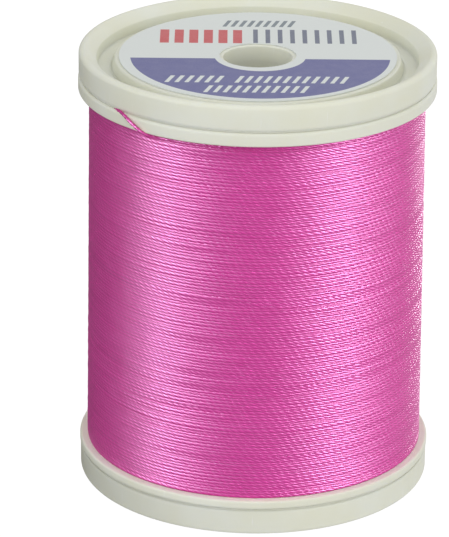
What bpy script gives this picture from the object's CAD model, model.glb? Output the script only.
"""The looks of a snap spool of nylon rod-winding thread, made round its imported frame.

Lengths are in metres in the frame's own axes: +Z runs up the spindle axis and the camera looks from
-Y. The plastic is turned from fine outlines, the label is one sheet cut along its printing, and the
winding is one ridge that runs helically up the spool.
"""

from math import cos, hypot, pi, radians, sin

import bmesh
import bpy
import numpy as np
from mathutils import Matrix, Vector
from mathutils.geometry import delaunay_2d_cdt


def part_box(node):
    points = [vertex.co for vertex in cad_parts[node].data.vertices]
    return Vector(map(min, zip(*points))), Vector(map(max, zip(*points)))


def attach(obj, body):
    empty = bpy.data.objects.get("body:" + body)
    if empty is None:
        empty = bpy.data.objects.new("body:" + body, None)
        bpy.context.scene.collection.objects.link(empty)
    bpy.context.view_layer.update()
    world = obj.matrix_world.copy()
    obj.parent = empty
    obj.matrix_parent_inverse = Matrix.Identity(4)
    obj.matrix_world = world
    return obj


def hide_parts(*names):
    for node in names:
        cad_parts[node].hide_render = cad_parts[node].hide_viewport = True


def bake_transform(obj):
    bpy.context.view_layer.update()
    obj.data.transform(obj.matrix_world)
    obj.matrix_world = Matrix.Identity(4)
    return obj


MM = 0.001

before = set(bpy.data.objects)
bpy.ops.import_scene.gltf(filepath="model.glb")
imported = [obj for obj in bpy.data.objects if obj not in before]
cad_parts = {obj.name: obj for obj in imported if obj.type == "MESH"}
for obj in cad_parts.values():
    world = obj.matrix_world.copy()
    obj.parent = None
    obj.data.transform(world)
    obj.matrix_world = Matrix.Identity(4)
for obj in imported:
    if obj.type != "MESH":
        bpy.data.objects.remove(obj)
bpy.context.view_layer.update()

# Sizes read from the frame. Depths are measured down from the end plane of a cap.
RIM_LOW, RIM_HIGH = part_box("top_cap_rim")
HUB_LOW, HUB_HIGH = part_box("top_cap_hub")
WEB_LOW, WEB_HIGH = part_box("top_cap_web")
LABEL_LOW, LABEL_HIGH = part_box("top_label")
BARREL_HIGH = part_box("spool_barrel")[1]
WINDING_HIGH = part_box("thread_winding")[1]

HEIGHT = RIM_HIGH.z
FLANGE_RADIUS = RIM_HIGH.x
RIM_DEPTH = HEIGHT - RIM_LOW.z
LIP_DEPTH = HEIGHT - BARREL_HIGH.z
HUB_RECESS = HEIGHT - HUB_HIGH.z
HUB_DEPTH = HEIGHT - HUB_LOW.z
HUB_BASE_RADIUS = HUB_HIGH.x
WEB_DEPTH = HEIGHT - WEB_HIGH.z
WEB_BOTTOM_DEPTH = HEIGHT - WEB_LOW.z
LABEL_DEPTH = HEIGHT - LABEL_HIGH.z
LABEL_BOTTOM_DEPTH = HEIGHT - LABEL_LOW.z
WINDING_RADIUS = WINDING_HIGH.x

# Cap details. Angles are in degrees in the (radius, z) plane.
RIM_INNER_RADIUS = 14.3 * MM
RIM_SETBACK = 0.06 * MM
CREST_DEPTH = 0.1 * MM
CREST_ROUND = 0.42 * MM
SLOPE_RADIUS = 2.96 * MM
SLOPE_START = 115
SLOPE_END = 138
INNER_EDGE_ROUND = 0.15 * MM
INNER_EDGE_END = 170
BEAD_INNER_RADIUS = 15.4 * MM
BEAD_OUTER_RADIUS = 15.78 * MM
BEAD_GAP = 0.015 * MM
SEAM_FILLET = 0.3 * MM
HUB_DROP = 0.08 * MM
HUB_TOP_RADIUS = 12.77 * MM
HUB_FILLET = 0.2 * MM
HUB_DISC = 1.6 * MM
HUB_SEAT = 0.1 * MM
SPINDLE_RADIUS = 3.08 * MM
SPINDLE_ROUND = 0.12 * MM
SKIRT_OUTER_RADIUS = 10.9 * MM
SKIRT_WALL = 1.2 * MM
COLLAR_INNER_RADIUS = 4.28 * MM
COLLAR_WALL = 0.85 * MM
COLLAR_LENGTH = 3.0 * MM
WEB_FILLET = 0.16 * MM
WEB_ROOT = 0.05 * MM
LABEL_SHEET_RADIUS = 12.37 * MM
LABEL_HOLE_RADIUS = 3.42 * MM

# Barrel details
BARREL_RADIUS = 12.4 * MM
BARREL_WALL = 1.4 * MM
TOP_LIP = 1.25 * MM
BOTTOM_LIP = 0.85 * MM
LIP_EDGE = 0.2 * MM
CHANNEL_INNER_RADIUS = 13.3 * MM
CHANNEL_OUTER_RADIUS = 15.2 * MM
CHANNEL_DEPTH = 0.37 * MM
TUBE_WALL = 1.1 * MM
RIB_COUNT = 4
RIB_THICKNESS = 1.0 * MM
RIB_END = 7.2 * MM
RIB_ROUND = 0.2 * MM
RIB_ROUND_STEPS = 3

# Fineness of turned shapes
TURNED_SEGMENTS = 256
ARC_STEPS = 10
FILLET_STEPS = 6
SEAM_STEPS = 5
CORNER_STEPS = 4

# Winding. TURN_SHIFT is a share of the pitch, and rates are waves per turn, slowest and fastest.
THREAD_DIAMETER = 0.3 * MM
TURN_PITCH = 0.287 * MM
WINDING_RADIUS_TOP = 15.04 * MM
WINDING_SEGMENTS = 208
RIDGE_ACROSS = (0.0, 0.17, 0.5, 0.83)
RIDGE_DEPTH = 0.045 * MM
GAP_DEPTH = 0.03 * MM
GAP_RARITY = 1.25
WIDEST_GAP = 1.2
TURN_SHIFT = 0.10
TURN_LIFT = 0.014 * MM
SHIFT_RATES = (0.05, 1.3)
LIFT_RATES = (0.04, 1.1)
GAP_RATES = (0.25, 2.6)
WAVE_COUNT = 14
WINDING_SEED = 11
LIP_GAP = 0.01 * MM
SPARE_TURNS = 2
BORE_GAP = 0.1 * MM
WELD_DISTANCE = 1e-7

# The loose end of the thread: degrees round from the front towards -X, radius and height, in mm.
TAIL_ROUTE_MM = (
    (29.5, 15.24, 36.36),
    (33.0, 15.30, 36.36),
    (35.6, 15.66, 36.43),
    (37.9, 16.04, 36.70),
    (40.2, 16.20, 37.08),
    (43.0, 16.20, 37.48),
    (45.6, 16.12, 37.80),
    (48.5, 15.88, 37.90),
    (52.5, 15.64, 37.90),
    (56.5, 15.32, 37.89),
    (61.0, 14.96, 37.74),
    (66.0, 14.62, 37.57),
    (74.0, 14.40, 37.53),
    (95.0, 14.30, 37.53),
    (120.0, 14.25, 37.53),
    (143.0, 14.25, 37.53),
    (162.0, 14.25, 37.53),
)
PATH_SPACING = 0.1 * MM
STRAND_SIDES = 15
STRAND_PLIES = 3
STRAND_LAY = 1.35 * MM
STRAND_GROOVE = 0.13

# The turn before it, which rises out of the winding over so many degrees and so many mm.
LEAD_ANGLE = 40
LEAD_SINK_MM = 0.4
LEAD_STEPS = 14

# Label printing, in mm. The papers are numbered in the order of LABEL_INKS.
WHITE, BLUE, RED, SLATE, GREY = range(5)
LABEL_INKS = (
    ("label_white", (0.74, 0.78, 0.76)),
    ("label_blue", (0.13, 0.135, 0.33)),
    ("label_red", (0.60, 0.09, 0.10)),
    ("label_slate", (0.15, 0.17, 0.24)),
    ("label_grey", (0.20, 0.24, 0.27)),
)
BLUE_CENTRE = (0.2, -0.25)
BLUE_RADIUS = 11.55
BLUE_TOP = -1.0
BLUE_SEGMENTS = 90
HALO_CENTRE = (0.2, -0.4)
HALO_RADIUS = 4.05
HALO_SEGMENTS = 72
SHEET_SEGMENTS = 240
HOLE_SEGMENTS = 96
CUT_PRECISION = 1e-5

# Rows of bars: paper, left, right, low, high, number of bars, share of a step filled, slant
LABEL_BARS = (
    (GREY, -3.2, 3.4, 8.1, 9.9, 9, 0.5, 0.5),
    (RED, -8.8, -0.9, 3.3, 7.1, 6, 0.62, 0.0),
    (SLATE, -0.4, 9.6, 3.4, 7.3, 9, 0.38, 0.0),
    (WHITE, -8.2, -3.0, -7.6, -5.8, 6, 0.45, 0.55),
    (WHITE, -2.1, 7.9, -7.6, -5.8, 12, 0.45, 0.55),
    (WHITE, -4.8, 4.4, -10.2, -8.4, 11, 0.45, 0.55),
)

# Camera
CAMERA_DISTANCE = 340.0 * MM
CAMERA_ELEVATION = radians(21.733)
CAMERA_ROLL = radians(0.527)
CAMERA_LENS_MM = 250.6
CAMERA_SENSOR_MM = 36.0
CAMERA_CLIP = (0.01, 20.0)
LOOK_AT = Vector((-2.796 * MM, 0.0, 19.231 * MM))

FLOOR_HALF = 3.0
FLOOR_DROP = 1.5 * MM

# Surroundings: their strength above and below the spool, on the bright and on the dark side, which
# lies so many degrees right of the camera. They fade between two cosines to that side and to up.
ABOVE = 0.84
ABOVE_DARK = 0.35
BELOW = 0.75
BELOW_DARK = 0.05
DARK_AZIMUTH = -120
DARK_FADE = (0.15, 0.6)
RISE_FADE = (-0.4, 0.15)

# Lights: name, degrees right of the camera, degrees up, width and height in m, power in W
LIGHT_DISTANCE = 0.9
TOP_LIGHT = ("top_softbox", 15, 70, 0.7, 0.7, 0.85)
FRONT_FILL = ("front_fill", 40, 0, 0.8, 0.8, 1.9)
UPPER_FILL = ("left_fill", -65, 20, 0.8, 0.8, 2.6)
LOWER_FILL = ("low_fill", -60, 0, 0.8, 0.8, 1.6)
STRIPS = (
    ("left_strip", -56, 20, 0.31, 0.8, 57.0),
    ("right_strip", 66, 20, 0.45, 0.8, 59.5),
    ("back_strip", 156, 20, 0.30, 0.8, 14.0),
)


# Shapes


def arc(centre, half_width, half_height, start, end, steps=ARC_STEPS):
    """Points of an elliptical arc in the (radius, z) plane, both ends included, angles in degrees."""
    turns = [radians(start + (end - start) * i / steps) for i in range(steps + 1)]
    return [(centre[0] + half_width * cos(t), centre[1] + half_height * sin(t)) for t in turns]


def turned_mesh(name, outline):
    """A ring made by spinning a closed outline of (radius, z) points round the Z axis."""
    bm = bmesh.new()
    loop = [bm.verts.new((radius, 0.0, z)) for radius, z in outline]
    edges = [bm.edges.new(pair) for pair in zip(loop, loop[1:] + loop[:1])]
    bmesh.ops.spin(
        bm,
        geom=loop + edges,
        cent=(0, 0, 0),
        axis=(0, 0, 1),
        angle=2 * pi,
        steps=TURNED_SEGMENTS,
        use_merge=True,
    )
    bmesh.ops.recalc_face_normals(bm, faces=bm.faces)
    mesh = bpy.data.meshes.new(name)
    bm.to_mesh(mesh)
    bm.free()
    return mesh


def place(name, mesh, *finishes, sharp=30):
    """A new object with these materials, smooth except at corners sharper than so many degrees."""
    for finish in finishes:
        mesh.materials.append(finish)
    mesh.shade_smooth()
    mesh.set_sharp_from_angle(angle=radians(sharp))
    obj = bpy.data.objects.new(name, mesh)
    bpy.context.scene.collection.objects.link(obj)
    return obj


def settle(obj, body, slot, *nodes):
    """Fixes a finished piece to its body and says what it stands for."""
    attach(obj, body)
    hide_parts(*nodes)


def carried_on(points, radius, start, end, steps=ARC_STEPS):
    """A round stretch, turning from one angle to another, that goes on from an outline's last point."""
    r, z = points[-1]
    centre = (r - radius * cos(radians(start)), z - radius * sin(radians(start)))
    return arc(centre, radius, radius, start, end, steps)[1:]


def rim_outline():
    """The thick outer ring of a cap: a crest near its outer edge, from which its top slopes inwards.

    A bead under it nips the thread against the barrel's flange.
    """
    outer = FLANGE_RADIUS - RIM_SETBACK
    underside, nip = -RIM_DEPTH, -LIP_DEPTH + BEAD_GAP
    points = [(RIM_INNER_RADIUS, underside), (BEAD_INNER_RADIUS, underside), (BEAD_INNER_RADIUS, nip)]
    points += [(BEAD_OUTER_RADIUS, nip), (BEAD_OUTER_RADIUS, underside + SEAM_FILLET / 2)]
    seam = (outer - SEAM_FILLET / 2, underside + SEAM_FILLET)
    points += arc(seam, SEAM_FILLET / 2, SEAM_FILLET, -90, 0, SEAM_STEPS)
    crest = (outer - CREST_ROUND, -CREST_DEPTH - CREST_ROUND)
    points += arc(crest, CREST_ROUND, CREST_ROUND, 0, SLOPE_START)
    points += carried_on(points, SLOPE_RADIUS, SLOPE_START, SLOPE_END)
    points += carried_on(points, INNER_EDGE_ROUND, SLOPE_END, INNER_EDGE_END, CORNER_STEPS)
    points.append((RIM_INNER_RADIUS, -WEB_DEPTH))
    return points


def web_outline():
    """The thin floor of the groove, rounded into the hub and the rim and rooted a little in both."""
    inner, outer = HUB_BASE_RADIUS, RIM_INNER_RADIUS
    bottom, shoulder, root = -WEB_BOTTOM_DEPTH, -WEB_DEPTH + WEB_FILLET, WEB_ROOT
    points = [(inner - root, bottom), (outer + root, bottom), (outer + root, shoulder)]
    points += arc((outer - WEB_FILLET, shoulder), WEB_FILLET, WEB_FILLET, 0, -90, CORNER_STEPS)
    points += arc((inner + WEB_FILLET, shoulder), WEB_FILLET, WEB_FILLET, -90, -180, CORNER_STEPS)
    points.append((inner - root, shoulder))
    return points


def hub_outline():
    """The raised centre of a cap, with the skirt that plugs into the barrel and a locating collar."""
    top = -HUB_RECESS - HUB_DROP
    disc_underside = -HUB_RECESS - HUB_DISC
    seat = -LIP_DEPTH + HUB_SEAT
    skirt_inner = SKIRT_OUTER_RADIUS - SKIRT_WALL
    collar_outer = COLLAR_INNER_RADIUS + COLLAR_WALL
    collar_end = disc_underside - COLLAR_LENGTH
    mouth = (SPINDLE_RADIUS + SPINDLE_ROUND, top - SPINDLE_ROUND)
    points = arc(mouth, SPINDLE_ROUND, SPINDLE_ROUND, 90, 180, CORNER_STEPS)
    points.append((SPINDLE_RADIUS, disc_underside))
    points += [(COLLAR_INNER_RADIUS, disc_underside), (COLLAR_INNER_RADIUS, collar_end)]
    points += [(collar_outer, collar_end), (collar_outer, disc_underside)]
    points += [(skirt_inner, disc_underside), (skirt_inner, -HUB_DEPTH)]
    points += [(SKIRT_OUTER_RADIUS, -HUB_DEPTH), (SKIRT_OUTER_RADIUS, seat)]
    points += [(HUB_BASE_RADIUS, seat), (HUB_BASE_RADIUS, -WEB_DEPTH)]
    edge = (HUB_TOP_RADIUS - HUB_FILLET, top - HUB_FILLET)
    points += arc(edge, HUB_FILLET, HUB_FILLET, 0, 90, FILLET_STEPS)
    return points


def lip_half_outline(thickness):
    """The barrel's outline from its mid height up to its bore, with the upper inner flange."""
    top = BARREL_HIGH.z
    bottom = top - thickness
    channel = top - CHANNEL_DEPTH
    points = [(BARREL_RADIUS, bottom)]
    points += arc((FLANGE_RADIUS - LIP_EDGE, bottom + LIP_EDGE), LIP_EDGE, LIP_EDGE, -90, 0)
    seam = (FLANGE_RADIUS - SEAM_FILLET, top - SEAM_FILLET)
    points += arc(seam, SEAM_FILLET, SEAM_FILLET, 0, 90, FILLET_STEPS)
    points += [(CHANNEL_OUTER_RADIUS, top), (CHANNEL_OUTER_RADIUS, channel)]
    points += [(CHANNEL_INNER_RADIUS, channel), (CHANNEL_INNER_RADIUS, top)]
    points.append((BARREL_RADIUS - BARREL_WALL, top))
    return points


def rib_mesh(turn):
    """A flat rib with rounded edges from the spindle tube's wall to the barrel's wall."""
    inner = SPINDLE_RADIUS + TUBE_WALL / 2
    outer = BARREL_RADIUS - BARREL_WALL / 2
    bm = bmesh.new()
    bmesh.ops.create_cube(bm, size=1.0)
    bmesh.ops.scale(bm, vec=(outer - inner, RIB_THICKNESS, HEIGHT - 2 * RIB_END), verts=bm.verts)
    bmesh.ops.bevel(bm, geom=bm.edges[:], offset=RIB_ROUND, segments=RIB_ROUND_STEPS, affect="EDGES")
    bmesh.ops.translate(bm, vec=((inner + outer) / 2, 0.0, HEIGHT / 2), verts=bm.verts)
    bmesh.ops.rotate(bm, cent=(0, 0, 0), matrix=Matrix.Rotation(turn, 3, "Z"), verts=bm.verts)
    mesh = bpy.data.meshes.new("rib")
    bm.to_mesh(mesh)
    bm.free()
    return mesh


def to_end(mesh, end):
    """Moves a mesh from the cap's own frame to the top or the bottom end of the spool."""
    if end == "top":
        mesh.transform(Matrix.Translation((0.0, 0.0, HEIGHT)))
    else:
        mesh.transform(Matrix.Rotation(pi, 4, "X"))
    return mesh


# Materials


def new_material(name, colour, roughness):
    """A material, its node tree and its shader."""
    made = bpy.data.materials.new(name)
    made.use_nodes = True
    shader = made.node_tree.nodes["Principled BSDF"]
    shader.inputs["Base Color"].default_value = (*colour, 1.0)
    shader.inputs["Roughness"].default_value = roughness
    return made, made.node_tree, shader


def node(tree, kind, inputs, output=0, **settings):
    """Adds a node, sets its properties and its inputs, and returns one of its outputs."""
    made = tree.nodes.new("ShaderNode" + kind)
    for name, value in settings.items():
        setattr(made, name, value)
    for key, value in inputs.items():
        if isinstance(value, bpy.types.NodeSocket):
            tree.links.new(value, made.inputs[key])
        else:
            made.inputs[key].default_value = value
    return made.outputs[output]


def maths(tree, operation, *values):
    """The result of one Math node."""
    return node(tree, "Math", dict(enumerate(values)), operation=operation)


def split(tree, vector):
    """The first two coordinates of a vector."""
    parts = tree.nodes.new("ShaderNodeSeparateXYZ")
    tree.links.new(vector, parts.inputs[0])
    return parts.outputs[0], parts.outputs[1]


def millimetres(tree):
    """The piece's own coordinates, in millimetres."""
    own = node(tree, "TexCoord", {}, output="Object")
    return node(tree, "VectorMath", {0: own, "Scale": 1 / MM}, operation="SCALE")


def noise(tree, where, scale, detail=3.0, roughness=0.5):
    """Noise between 0 and 1 with so many features to a unit of its coordinates."""
    inputs = {"Vector": where, "Scale": scale, "Detail": detail, "Roughness": roughness}
    return node(tree, "TexNoise", inputs)


def mapped(tree, value, low, high, to_low, to_high):
    """The value's stretch from low to high as to_low to to_high, held at both ends."""
    inputs = {"Value": value, "From Min": low, "From Max": high, "To Min": to_low, "To Max": to_high}
    return node(tree, "MapRange", inputs, clamp=True)


def blended(tree, share, first, second):
    """The first colour where share is 0 and the second where it is 1."""
    made = tree.nodes.new("ShaderNodeMix")
    made.data_type = "RGBA"
    tree.links.new(share, made.inputs["Factor"])
    # Inputs 6 and 7 and output 2 are this node's colour sockets.
    for socket, colour in ((made.inputs[6], first), (made.inputs[7], second)):
        if isinstance(colour, bpy.types.NodeSocket):
            tree.links.new(colour, socket)
        else:
            socket.default_value = (*colour, 1.0)
    return made.outputs[2]


def bump(tree, height, depth):
    """The surface's direction once a height of 1 stands out by this depth."""
    return node(tree, "Bump", {"Height": height, "Distance": depth, "Strength": 1.0})


IVORY = (0.75, 0.765, 0.68)
IVORY_WARM = (0.73, 0.735, 0.61)
IVORY_SEAM = (0.64, 0.63, 0.47)
SCUFF = (0.82, 0.83, 0.79)
IVORY_ROUGHNESS = (0.36, 0.48)
CLOUDS_PER_MM = 0.16
GRAINS_PER_MM = 5.0
GRAIN_DEPTH = 0.006 * MM
CORNER_REACH = 0.5 * MM
CORNER_SHARE = 0.5
SCUFF_STROKES_PER_MM = (3.2, 3.2, 0.35)
SCUFF_PATCHES_PER_MM = 0.24
SCUFF_SHARE = 0.5
SCUFF_ROUGHNESS = 0.15
SCUFF_CUT = -1.5


def ivory_plastic():
    """Satin moulded plastic: cloudy, a little translucent, warmer in corners and lightly scuffed."""
    made, tree, shader = new_material("ivory_plastic", IVORY, 0.42)
    where = millimetres(tree)
    cloud = mapped(tree, noise(tree, where, CLOUDS_PER_MM, 4.0), 0.35, 0.65, 0.0, 1.0)
    colour = blended(tree, cloud, IVORY, IVORY_WARM)
    open_sky = node(tree, "AmbientOcclusion", {"Distance": CORNER_REACH}, output="AO", samples=6)
    corner = mapped(tree, open_sky, 0.05, 0.55, CORNER_SHARE, 0.0)
    colour = blended(tree, corner, colour, IVORY_SEAM)
    across = node(tree, "VectorMath", {0: where, 1: SCUFF_STROKES_PER_MM}, operation="MULTIPLY")
    strokes = mapped(tree, noise(tree, across, 1.0, 2.0), 0.66, 0.74, 0.0, 1.0)
    patches = mapped(tree, noise(tree, where, SCUFF_PATCHES_PER_MM, 1.0), 0.52, 0.62, 0.0, 1.0)
    scuffs = maths(tree, "MULTIPLY", strokes, patches)
    colour = blended(tree, maths(tree, "MULTIPLY", scuffs, SCUFF_SHARE), colour, SCUFF)
    tree.links.new(colour, shader.inputs["Base Color"])
    grain = noise(tree, where, GRAINS_PER_MM)
    rough = mapped(tree, grain, 0.3, 0.7, *IVORY_ROUGHNESS)
    rough = maths(tree, "ADD", rough, maths(tree, "MULTIPLY", scuffs, SCUFF_ROUGHNESS))
    tree.links.new(rough, shader.inputs["Roughness"])
    height = maths(tree, "ADD", grain, maths(tree, "MULTIPLY", scuffs, SCUFF_CUT))
    tree.links.new(bump(tree, height, GRAIN_DEPTH), shader.inputs["Normal"])
    shader.inputs["Subsurface Weight"].default_value = 0.25
    shader.inputs["Subsurface Radius"].default_value = (1.0, 0.95, 0.7)
    shader.inputs["Subsurface Scale"].default_value = 0.8 * MM
    return made


PAPER_ROUGHNESS = (0.32, 0.46)
PAPER_GRAINS_PER_MM = 7.0
PAPER_GRAIN_DEPTH = 0.004 * MM
INK_PATCHES_PER_MM = 1.1
INK_UNEVENNESS = 0.35


def printed(name, colour):
    """Coated label paper in one printing colour, with fine paper grain and uneven ink."""
    made, tree, shader = new_material(name, colour, 0.38)
    where = millimetres(tree)
    patches = noise(tree, where, INK_PATCHES_PER_MM, 5.0, 0.65)
    uneven = mapped(tree, patches, 0.35, 0.65, 0.0, INK_UNEVENNESS)
    faded = tuple(0.86 * c + 0.10 for c in colour)
    tree.links.new(blended(tree, uneven, colour, faded), shader.inputs["Base Color"])
    grain = noise(tree, where, PAPER_GRAINS_PER_MM, 4.0, 0.6)
    tree.links.new(mapped(tree, grain, 0.3, 0.7, *PAPER_ROUGHNESS), shader.inputs["Roughness"])
    tree.links.new(bump(tree, grain, PAPER_GRAIN_DEPTH), shader.inputs["Normal"])
    shader.inputs["Coat Weight"].default_value = 0.25
    shader.inputs["Coat Roughness"].default_value = 0.25
    return made


PINK = (0.66, 0.022, 0.30)
PINK_LIGHT = (0.77, 0.042, 0.37)
PINK_DEEP = (0.34, 0.005, 0.13)
LOBES_PER_TURN = 150.7
LOBE_SLANT = 1.2
LOBE_DEPTH = 0.028 * MM
FILAMENTS_PER_LOBE = 4.0
FILAMENT_SHARE = 0.03
TWIST_WAVES_PER_MM = 0.3
TWIST_WANDER = 1.6
STREAKS_PER_TURN = 10.6
STREAK_STEP = 1.7
VALLEY_START = 0.32
CLOSED_VALLEY = 0.55
DIP_SHARE = 0.36
NYLON_ROUGHNESS = (0.40, 0.47)


def streak_layout(tree, along, turn):
    """Thread coordinates for tone: long streaks along each turn that differ from turn to turn."""
    whole = maths(tree, "FLOOR", turn)
    streaks = maths(tree, "MULTIPLY", along, STREAKS_PER_TURN)
    return node(tree, "CombineXYZ", {0: streaks, 1: maths(tree, "MULTIPLY", whole, STREAK_STEP)})


def nylon_thread():
    """Twisted nylon: slanting plies along each turn, fine filaments in them, dark where turns meet."""
    made, tree, shader = new_material("nylon_thread", PINK, 0.4)
    layout = node(tree, "UVMap", {}, uv_map="thread")
    where = millimetres(tree)
    along, turn = split(tree, layout)
    across = maths(tree, "FRACT", turn)
    off_middle = maths(tree, "ABSOLUTE", maths(tree, "SUBTRACT", across, 0.5))
    plies = maths(tree, "MULTIPLY", along, LOBES_PER_TURN)
    slant = maths(tree, "MULTIPLY", across, LOBE_SLANT)
    uneven_twist = maths(tree, "MULTIPLY", noise(tree, where, TWIST_WAVES_PER_MM, 2.0), TWIST_WANDER)
    phase = maths(tree, "ADD", maths(tree, "SUBTRACT", plies, slant), uneven_twist)
    lobes = maths(tree, "ABSOLUTE", maths(tree, "SINE", maths(tree, "MULTIPLY", phase, pi)))
    strands = maths(tree, "SINE", maths(tree, "MULTIPLY", phase, 2 * pi * FILAMENTS_PER_LOBE))
    height = maths(tree, "ADD", lobes, maths(tree, "MULTIPLY", strands, FILAMENT_SHARE))
    tree.links.new(bump(tree, height, LOBE_DEPTH), shader.inputs["Normal"])
    by_turn = streak_layout(tree, along, turn)
    tone = mapped(tree, noise(tree, by_turn, 1.0), 0.3, 0.7, 0.15, 0.85)
    colour = blended(tree, tone, PINK, PINK_LIGHT)
    open_turns = mapped(tree, noise(tree, by_turn, 0.7, 1.0), 0.56, 0.66, CLOSED_VALLEY, 1.0)
    valley = maths(tree, "MULTIPLY", mapped(tree, off_middle, VALLEY_START, 0.5, 0.0, 1.0), open_turns)
    dips = mapped(tree, lobes, 0.0, 0.7, DIP_SHARE, 0.0)
    colour = blended(tree, maths(tree, "MAXIMUM", valley, dips), colour, PINK_DEEP)
    tree.links.new(colour, shader.inputs["Base Color"])
    rough = mapped(tree, noise(tree, where, 1.4, 2.0), 0.3, 0.7, *NYLON_ROUGHNESS)
    tree.links.new(rough, shader.inputs["Roughness"])
    shader.inputs["Specular IOR Level"].default_value = 0.6
    shader.inputs["Specular Tint"].default_value = (1.0, 0.55, 0.95, 1.0)
    return made


# Thread


def smooth_path(knots, spacing):
    """Points about a spacing apart on a Catmull-Rom curve through the knots."""
    ends = [2 * knots[0] - knots[1]] + knots + [2 * knots[-1] - knots[-2]]
    points = []
    for before, start, end, after in zip(ends, ends[1:], ends[2:], ends[3:]):
        steps = max(1, round((end - start).length / spacing))
        for i in range(steps):
            t = i / steps
            pull = (end - before) * t + (2 * before - 5 * start + 4 * end - after) * t**2
            bend = (3 * start - before - 3 * end + after) * t**3
            points.append(start + (pull + bend) / 2)
    return points + [knots[-1]]


def round_spool(turn, radius, z):
    """A point so many degrees round from the front towards -X, its radius and height in mm."""
    return Vector((-radius * sin(radians(turn)), -radius * cos(radians(turn)), z)) * MM


def wander(random, slowest, fastest):
    """A smooth random function of the thread's total angle in turns, of about unit size."""
    rates = random.uniform(slowest, fastest, WAVE_COUNT)
    starts = random.uniform(0, 2 * pi, WAVE_COUNT)
    scale = (2 / WAVE_COUNT) ** 0.5

    def at(turns):
        return scale * sum(np.sin(2 * pi * rate * turns + start) for rate, start in zip(rates, starts))

    return at


def winding_rows():
    """Radius and height of every point of the helical ridge, a row of points to each line along it."""
    random = np.random.default_rng(WINDING_SEED)
    shift = wander(random, *SHIFT_RATES)
    lift = wander(random, *LIFT_RATES)
    gap = wander(random, *GAP_RATES)
    low = LIP_DEPTH + BOTTOM_LIP + LIP_GAP
    high = HEIGHT - LIP_DEPTH - TOP_LIP - LIP_GAP
    turns = round((high - low) / TURN_PITCH)
    pitch = (high - low) / turns
    steps = len(RIDGE_ACROSS)
    row = np.arange((turns + 2 * SPARE_TURNS) * steps + 1)[:, None]
    column = np.arange(WINDING_SEGMENTS)[None, :]
    start = row // steps - SPARE_TURNS + column / WINDING_SEGMENTS
    across = np.array(RIDGE_ACROSS)[row % steps] + 0 * column
    edge = low + pitch * (start + TURN_SHIFT * shift(start))
    next_edge = low + pitch * (start + 1 + TURN_SHIFT * shift(start + 1))
    z = edge + (next_edge - edge) * across
    share = np.clip((z - low) / (high - low), 0, 1)
    package = WINDING_RADIUS - TURN_LIFT + (WINDING_RADIUS_TOP - WINDING_RADIUS) * share
    ridge = np.sqrt(np.clip(1 - (2 * across - 1) ** 2, 0, 1))
    open_gap = np.clip(gap(start) - GAP_RARITY, 0, WIDEST_GAP)
    radius = package - (RIDGE_DEPTH + GAP_DEPTH * open_gap) * (1 - ridge)
    radius = radius + TURN_LIFT * lift(start) * ridge / 2
    radius = np.where((z <= low) | (z >= high), package - RIDGE_DEPTH, radius)
    return radius, np.clip(z, low, high)


def add_layout(mesh, layout):
    """Stores the thread's own layout: turns travelled, and whole turns and place across a turn."""
    chart = mesh.uv_layers.new(name="thread")
    chart.data.foreach_set("uv", np.array(layout, np.float32).ravel())


def winding_mesh():
    """The wound thread as one closed ring whose outside is a helical ridge, turn by turn."""
    radius, z = winding_rows()
    rows = len(radius)
    steps = len(RIDGE_ACROSS)
    turn = -2 * pi * np.arange(WINDING_SEGMENTS) / WINDING_SEGMENTS - pi / 2
    points = np.stack([radius * np.cos(turn), radius * np.sin(turn), z], axis=-1).reshape(-1, 3)
    faces, layout = [], []
    for i in range(rows - 1):
        whole = i // steps
        first = whole + RIDGE_ACROSS[i % steps]
        second = whole + (RIDGE_ACROSS + (1.0,))[i % steps + 1]
        for j in range(WINDING_SEGMENTS):
            # One column past the last is the first column of the next turn.
            next_row, next_column = (i, j + 1) if j + 1 < WINDING_SEGMENTS else (i + steps, 0)
            if next_row + 1 >= rows:
                continue
            here, there = i * WINDING_SEGMENTS + j, next_row * WINDING_SEGMENTS + next_column
            faces.append((here, here + WINDING_SEGMENTS, there + WINDING_SEGMENTS, there))
            left = whole + j / WINDING_SEGMENTS
            right = left + 1 / WINDING_SEGMENTS
            layout += [(left, first), (left, second), (right, second), (right, first)]
    mesh = bpy.data.meshes.new("winding")
    mesh.from_pydata(points.tolist(), [], faces)
    add_layout(mesh, layout)
    return closed_inside(mesh, BARREL_RADIUS + BORE_GAP)


def closed_inside(mesh, bore):
    """Drops the turns squeezed flat at both ends and joins the two open edges by a bore."""
    bm = bmesh.new()
    bm.from_mesh(mesh)
    bmesh.ops.remove_doubles(bm, verts=bm.verts, dist=WELD_DISTANCE)
    rims = [edge for edge in bm.edges if edge.is_boundary]
    inner = bmesh.ops.extrude_edge_only(bm, edges=rims)["geom"]
    for vert in inner:
        if isinstance(vert, bmesh.types.BMVert):
            pull = bore / hypot(vert.co.x, vert.co.y)
            vert.co.x *= pull
            vert.co.y *= pull
    walls = [edge for edge in inner if isinstance(edge, bmesh.types.BMEdge) and edge.is_boundary]
    bmesh.ops.bridge_loops(bm, edges=walls)
    bmesh.ops.recalc_face_normals(bm, faces=bm.faces)
    bm.to_mesh(mesh)
    bm.free()
    return mesh


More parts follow.
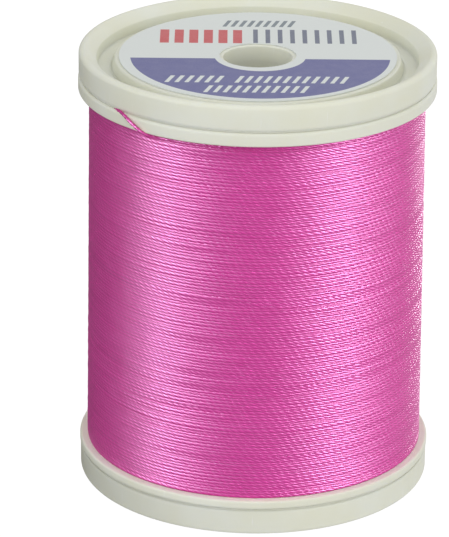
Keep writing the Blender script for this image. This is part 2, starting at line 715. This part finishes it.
def strand_rings(points, radius):
    """Rings of points round a path, and how far along it each is: plies twisted round each other."""
    rings, travelled = [], [0.0]
    for i, point in enumerate(points):
        before, after = points[max(i - 1, 0)], points[min(i + 1, len(points) - 1)]
        if i:
            travelled.append(travelled[-1] + (point - points[i - 1]).length)
        forward = (after - before).normalized()
        outward = Vector((point.x, point.y, 0.0)).normalized()
        outward = (outward - forward * outward.dot(forward)).normalized()
        sideways = forward.cross(outward)
        twist = 2 * pi * travelled[-1] / STRAND_LAY
        ring = []
        for side in range(STRAND_SIDES):
            turn = 2 * pi * side / STRAND_SIDES
            reach = radius * (1 + STRAND_GROOVE * (cos(STRAND_PLIES * (turn - twist)) - 1))
            ring.append(point + outward * reach * cos(turn) + sideways * reach * sin(turn))
        rings.append(ring)
    return rings, travelled


def strand_mesh(name, points, radius):
    """A thread along these points, closed at both ends."""
    rings, travelled = strand_rings(points, radius)
    sides = STRAND_SIDES
    around = 2 * pi * WINDING_RADIUS
    faces, layout = [], []
    for i in range(len(rings) - 1):
        here, there = travelled[i] / around, travelled[i + 1] / around
        for s in range(sides):
            t = (s + 1) % sides
            faces.append((i * sides + s, (i + 1) * sides + s, (i + 1) * sides + t, i * sides + t))
            low, high = s / sides, (s + 1) / sides
            layout += [(here, low), (there, low), (there, high), (here, high)]
    last = (len(rings) - 1) * sides
    for cap in (list(range(sides)), [last + s for s in reversed(range(sides))]):
        faces.append(tuple(cap))
        layout += [(0.0, 0.5)] * sides
    mesh = bpy.data.meshes.new(name)
    mesh.from_pydata([tuple(point) for ring in rings for point in ring], [], faces)
    add_layout(mesh, layout)
    return mesh


# Label


def round_points(centre, radius, turns):
    """Points of a circle at these angles."""
    return [(centre[0] + radius * cos(turn), centre[1] + radius * sin(turn)) for turn in turns]


def circle(centre, radius, count):
    """A whole circle."""
    return round_points(centre, radius, [2 * pi * i / count for i in range(count)])


def segment(centre, radius, chord, count):
    """The part of a disc in front of a straight line across it at y = chord."""
    half = np.arccos((centre[1] - chord) / radius)
    turns = [-pi / 2 - half + 2 * half * i / count for i in range(count + 1)]
    return round_points(centre, radius, turns)


def slanted_bars(left, right, low, high, count, share, slant):
    """A row of slanting bars, each filling a share of its step."""
    step = (right - left) / count
    bars = []
    for i in range(count):
        x = left + i * step
        wide = step * share
        bars.append([(x, low), (x + wide, low), (x + wide + slant, high), (x + slant, high)])
    return bars


def label_shapes():
    """(paper number, outline in mm) for each printed shape, later ones over earlier ones."""
    shapes = [(BLUE, segment(BLUE_CENTRE, BLUE_RADIUS, BLUE_TOP, BLUE_SEGMENTS))]
    shapes.append((WHITE, circle(HALO_CENTRE, HALO_RADIUS, HALO_SEGMENTS)))
    for number, *row in LABEL_BARS:
        shapes += [(number, bar) for bar in slanted_bars(*row)]
    return shapes


def label_mesh(shapes):
    """A disc with a hole whose top face is cut along the printed shapes, with real thickness."""
    outlines = [(WHITE, circle((0, 0), LABEL_SHEET_RADIUS / MM, SHEET_SEGMENTS))] + shapes
    outlines.append((-1, circle((0, 0), LABEL_HOLE_RADIUS / MM, HOLE_SEGMENTS)))
    points, loops = [], []
    for _, outline in outlines:
        loops.append(list(range(len(points), len(points) + len(outline))))
        points += [Vector(p) for p in outline]
    flat, _, faces, _, _, owners = delaunay_2d_cdt(points, [], loops, 1, CUT_PRECISION)
    bm = bmesh.new()
    verts = [bm.verts.new((p.x * MM, p.y * MM, -LABEL_DEPTH - HUB_DROP)) for p in flat]
    for corners, owned in zip(faces, owners):
        number = outlines[max(owned)][0]
        if number >= 0:
            face = bm.faces.new([verts[c] for c in corners])
            face.material_index = number
    top = bm.faces[:]
    bmesh.ops.recalc_face_normals(bm, faces=top)
    if top[0].normal.z < 0:
        bmesh.ops.reverse_faces(bm, faces=top)
    below = bmesh.ops.extrude_face_region(bm, geom=top, use_keep_orig=True)
    moved = [g for g in below["geom"] if isinstance(g, bmesh.types.BMVert)]
    bmesh.ops.translate(bm, vec=(0, 0, LABEL_DEPTH - LABEL_BOTTOM_DEPTH), verts=moved)
    for face in bm.faces:
        if face not in top:
            face.material_index = WHITE
    loose = [v for v in bm.verts if not v.link_faces]
    bmesh.ops.delete(bm, geom=loose, context="VERTS")
    bmesh.ops.recalc_face_normals(bm, faces=bm.faces)
    mesh = bpy.data.meshes.new("label")
    bm.to_mesh(mesh)
    bm.free()
    return mesh


# Pieces


def make_web(end, finish):
    """A cap's web, which flexes between the hub and the rim."""
    web = place(end + "_web", to_end(turned_mesh("web", web_outline()), end), finish)
    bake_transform(web)
    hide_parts(end + "_cap_web")
    return web


def make_cap(end, plastic, papers, shapes):
    """The four pieces of one end of the spool."""
    rim = place(end + "_rim_ring", to_end(turned_mesh("rim", rim_outline()), end), plastic)
    settle(rim, end + "_rim", "ivory_plastic", end + "_cap_rim")
    hub = place(end + "_hub", to_end(turned_mesh("hub", hub_outline()), end), plastic)
    settle(hub, "spool_body", "ivory_plastic", end + "_cap_hub")
    web = make_web(end, plastic)
    label = place(end + "_label_sheet", to_end(label_mesh(shapes), end), *papers)
    settle(label, "spool_body", "label_paper", end + "_label")
    return [rim, hub, web, label]


def make_barrel(plastic):
    """The barrel with its flanges, its spindle tube and its ribs."""
    upper = lip_half_outline(TOP_LIP)
    lower = [(radius, HEIGHT - z) for radius, z in reversed(lip_half_outline(BOTTOM_LIP))]
    shell = place("barrel_shell", turned_mesh("shell", lower + upper), plastic)
    settle(shell, "spool_body", "ivory_plastic", "spool_barrel")
    low = HUB_RECESS + HUB_DISC
    high = HEIGHT - low
    outer = SPINDLE_RADIUS + TUBE_WALL
    outline = [(SPINDLE_RADIUS, low), (outer, low), (outer, high), (SPINDLE_RADIUS, high)]
    tube = place("spindle_tube", turned_mesh("tube", outline), plastic)
    settle(tube, "spool_body", "ivory_plastic", "spool_barrel")
    ribs = []
    for i in range(RIB_COUNT):
        rib = place(f"barrel_rib_{i + 1}", rib_mesh(pi / RIB_COUNT + 2 * pi * i / RIB_COUNT), plastic)
        settle(rib, "spool_body", "ivory_plastic", "spool_barrel")
        ribs.append(rib)
    return [shell, tube] + ribs


def lead_route():
    """The end of the winding's last turn, rising out of it to where the loose end starts."""
    turn, radius, z = TAIL_ROUTE_MM[0]
    route = []
    for i in range(LEAD_STEPS + 1):
        left = 1 - i / LEAD_STEPS
        route.append(round_spool(turn - LEAD_ANGLE * left, radius - LEAD_SINK_MM * left**2, z))
    return route


def make_thread(nylon):
    """The winding, its loose end and the end of its last turn."""
    winding = place("wound_thread", winding_mesh(), nylon, sharp=60)
    settle(winding, "spool_body", "nylon_thread", "thread_winding")
    path = smooth_path([round_spool(*knot) for knot in TAIL_ROUTE_MM], PATH_SPACING)
    tail = place("loose_tail", strand_mesh("tail", path, THREAD_DIAMETER / 2), nylon)
    settle(tail, "spool_body", "nylon_thread", "thread_tail")
    lead = smooth_path(lead_route(), PATH_SPACING)
    last_turn = place("last_turn", strand_mesh("last_turn", lead, THREAD_DIAMETER / 2), nylon)
    settle(last_turn, "spool_body", "nylon_thread", "thread_winding")
    return [winding, tail, last_turn]


# Camera, floor and light


def make_camera():
    """A long lens that looks down on the spool from the front."""
    data = bpy.data.cameras.new("camera")
    data.sensor_width = CAMERA_SENSOR_MM
    data.lens = CAMERA_LENS_MM
    data.clip_start, data.clip_end = CAMERA_CLIP
    camera = bpy.data.objects.new("camera", data)
    back = Vector((0.0, -cos(CAMERA_ELEVATION), sin(CAMERA_ELEVATION)))
    tilt = Matrix.Rotation(pi / 2 - CAMERA_ELEVATION, 4, "X") @ Matrix.Rotation(CAMERA_ROLL, 4, "Z")
    camera.matrix_world = Matrix.Translation(LOOK_AT + back * CAMERA_DISTANCE) @ tilt
    bpy.context.scene.collection.objects.link(camera)
    bpy.context.scene.camera = camera


def make_floor():
    """A white floor that adds no light to the spool, clear of the lower rim's snap travel."""
    mesh = bpy.data.meshes.new("floor")
    sides = ((-1, -1), (1, -1), (1, 1), (-1, 1))
    corners = [(x * FLOOR_HALF, y * FLOOR_HALF, -FLOOR_DROP) for x, y in sides]
    mesh.from_pydata(corners, [], [(0, 1, 2, 3)])
    made, _, shader = new_material("pale_floor", (0.05, 0.05, 0.05), 0.9)
    shader.inputs["Emission Color"].default_value = (1.0, 1.0, 1.0, 1.0)
    shader.inputs["Emission Strength"].default_value = 1.0
    floor = place("floor", mesh, made)
    floor.visible_diffuse = False
    floor.visible_glossy = False


def facing(azimuth, elevation):
    """The direction so many degrees right of the camera, seen from the spool, and so many up."""
    a, e = radians(azimuth), radians(elevation)
    return Vector((sin(a) * cos(e), -cos(a) * cos(e), sin(e)))


def softbox(name, azimuth, elevation, width, height, power, receivers=None):
    """An area light that faces the spool, and lights only its receivers if it has any."""
    data = bpy.data.lights.new(name, "AREA")
    data.shape = "RECTANGLE"
    data.size = width
    data.size_y = height
    data.energy = power
    light = bpy.data.objects.new(name, data)
    way = facing(azimuth, elevation)
    light.location = Vector((0, 0, HEIGHT / 2)) + way * LIGHT_DISTANCE
    light.rotation_euler = way.to_track_quat("Z", "Y").to_euler()
    light.visible_camera = False
    if receivers is not None:
        light.light_linking.receiver_collection = receivers
    bpy.context.scene.collection.objects.link(light)
    return light


def cosine(tree, way, other):
    """The cosine between two directions."""
    return node(tree, "VectorMath", {0: way, 1: other}, output="Value", operation="DOT_PRODUCT")


def make_studio():
    """Even white surroundings, dimmer below the spool and behind it on the left."""
    world = bpy.data.worlds.new("studio")
    world.use_nodes = True
    tree = world.node_tree
    way = node(tree, "TexCoord", {}, output="Generated")
    side = mapped(tree, cosine(tree, way, facing(DARK_AZIMUTH, 0)), *DARK_FADE, 0.0, 1.0)
    rise = mapped(tree, cosine(tree, way, (0, 0, 1)), *RISE_FADE, 0.0, 1.0)
    above = mapped(tree, side, 0.0, 1.0, ABOVE, ABOVE_DARK)
    below = mapped(tree, side, 0.0, 1.0, BELOW, BELOW_DARK)
    between = maths(tree, "MULTIPLY", maths(tree, "SUBTRACT", above, below), rise)
    background = tree.nodes["Background"]
    background.inputs["Color"].default_value = (1.0, 1.0, 1.0, 1.0)
    tree.links.new(maths(tree, "ADD", below, between), background.inputs["Strength"])
    bpy.context.scene.world = world


def linked(name, pieces):
    """A collection of the pieces that a light is for."""
    made = bpy.data.collections.new(name)
    for piece in pieces:
        made.objects.link(piece)
    return made


def make_light(threads, mouldings):
    """Soft light on the plastic, and strips that only shine on the thread's filaments."""
    bpy.context.scene.view_settings.view_transform = "Standard"
    make_studio()
    upper = [piece for piece in mouldings if not piece.name.startswith("bottom")]
    lower = [piece for piece in mouldings if piece.name.startswith("bottom")]
    softbox(*TOP_LIGHT)
    softbox(*FRONT_FILL, linked("moulded_pieces", mouldings))
    softbox(*UPPER_FILL, linked("upper_pieces", upper))
    softbox(*LOWER_FILL, linked("lower_pieces", lower))
    shiny = linked("thread_pieces", threads)
    for strip in STRIPS:
        softbox(*strip, shiny).visible_diffuse = False


def main():
    """Makes every piece, then the floor and the light round them."""
    make_camera()
    threads = make_thread(nylon_thread())
    plastic = ivory_plastic()
    papers = [printed(*ink) for ink in LABEL_INKS]
    mouldings = make_barrel(plastic)
    mouldings += make_cap("top", plastic, papers, label_shapes())
    mouldings += make_cap("bottom", plastic, papers, [])
    make_floor()
    make_light(threads, mouldings)


main()
